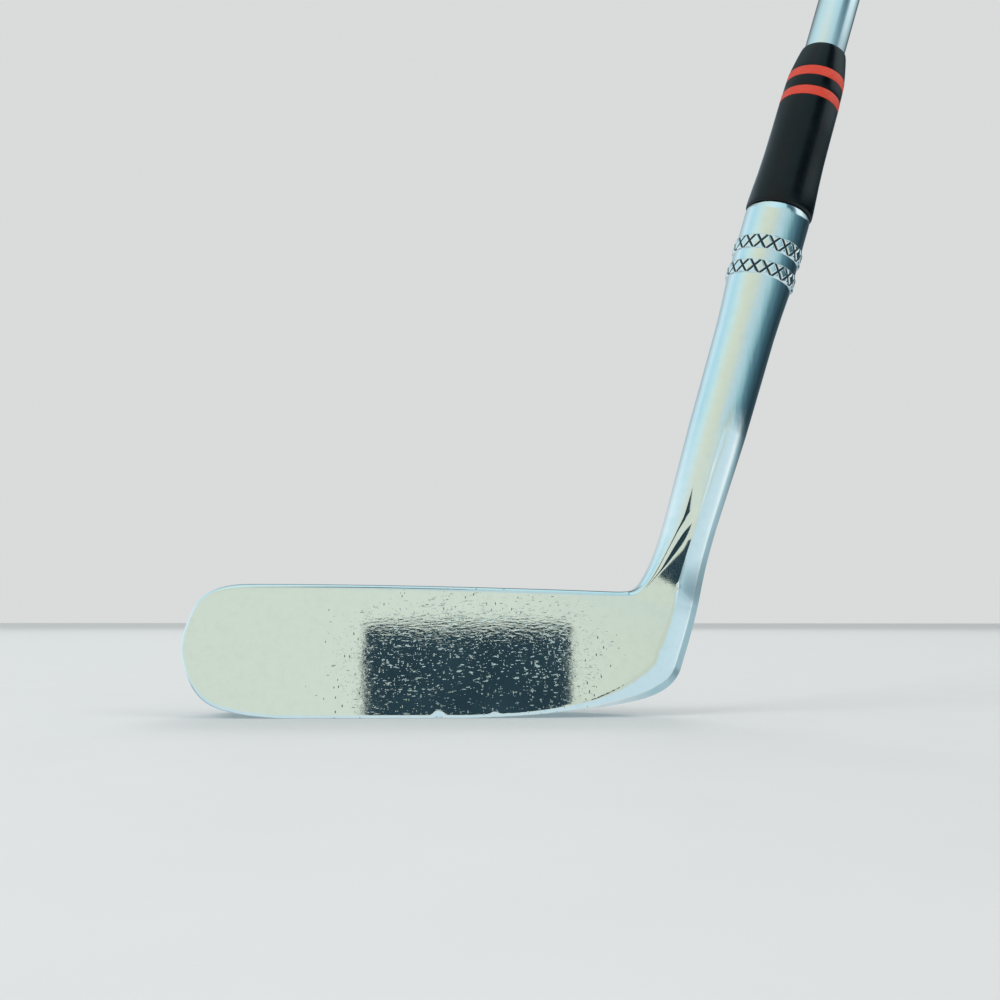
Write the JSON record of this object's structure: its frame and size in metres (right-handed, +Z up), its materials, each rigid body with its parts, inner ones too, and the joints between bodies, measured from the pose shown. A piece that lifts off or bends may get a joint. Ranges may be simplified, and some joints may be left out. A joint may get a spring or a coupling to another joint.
{
  "type": "blade putter",
  "caption": "Heel-shafted blade putter with a chromed one-piece head and hosel, knurled bands, a black ferrule with red rings, a steel shaft and a wrapped grip.",
  "frame": {"origin": "middle of the flat of the sole, on the ground, with the club at address", "axes": "+Z up from the ground; -Y the way the striking face looks, towards the hole; +X from toe to heel, the way the shaft leans"},
  "size_m": [0.3718, 0.0307, 0.8533],
  "materials": {
    "chrome_plate": "bright chrome plate with fine wear",
    "steel_tube": "polished chromed steel tube",
    "black_acetate": "gloss",
    "red_acetate": "gloss",
    "brass": "plain",
    "cork": "plain",
    "epoxy": "plain",
    "tape": "plain weave",
    "rubber": "plain",
    "leather": "spiral wrapped",
    "nickel": "plain"
  },
  "bodies": {
    "root": {"blade_head": "chrome_plate", "epoxy_sleeve": "epoxy", "tip_weight": "brass", "shaft_tip_plug": "cork", "shaft": "steel_tube", "ferrule_body": "black_acetate", "lower_trim_ring": "red_acetate", "ferrule_spacer_ring": "black_acetate", "upper_trim_ring": "red_acetate", "ferrule_top_ring": "black_acetate", "grip_tape": "tape", "grip_underlisting": "rubber", "grip_leather": "leather", "grip_collar": "black_acetate", "collar_trim_ring": "red_acetate", "butt_plug": "cork", "butt_cap": "black_acetate", "cap_screw": "nickel"}
  },
  "joints": []
}
